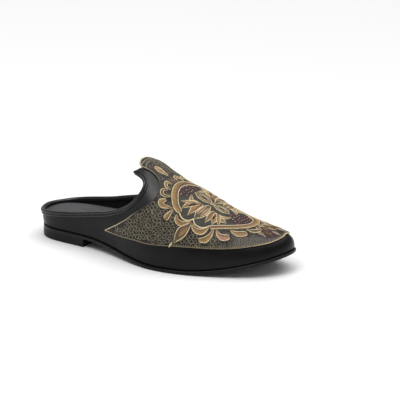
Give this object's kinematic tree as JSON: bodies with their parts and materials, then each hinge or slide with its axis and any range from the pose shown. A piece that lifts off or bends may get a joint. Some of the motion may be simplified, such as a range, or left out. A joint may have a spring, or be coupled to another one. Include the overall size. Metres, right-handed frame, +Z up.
{
  "type": "backless leather mule slipper",
  "caption": "Backless slip-on leather mule with a low heel, a bound collar, an almond toe and a patterned overlay on the vamp that ends in a rounded lobe over the instep.",
  "frame": {"origin": "on the floor under the middle of the shoe's box", "axes": "+X from heel to toe, +Y to the inner (medial) side of the foot, +Z up"},
  "size_m": [0.3016, 0.1086, 0.1017],
  "materials": {
    "sole_leather": "smooth black edge-dressed sole leather, half gloss",
    "heel_rubber": "matt black",
    "insole_leather": "soft matt dark grey lining leather",
    "upper_leather": "smooth black calf leather with a soft gloss",
    "panel_leather": "charcoal and olive leather worked all over with gold, cream and slate floral ornament",
    "binding_leather": "smooth black leather strip folded over the edge, soft gloss"
  },
  "bodies": {
    "root": {"outsole": "sole_leather", "heel": "heel_rubber", "insole": "insole_leather", "upper": "upper_leather", "vamp_panel": "panel_leather", "collar_binding": "binding_leather"}
  },
  "joints": []
}
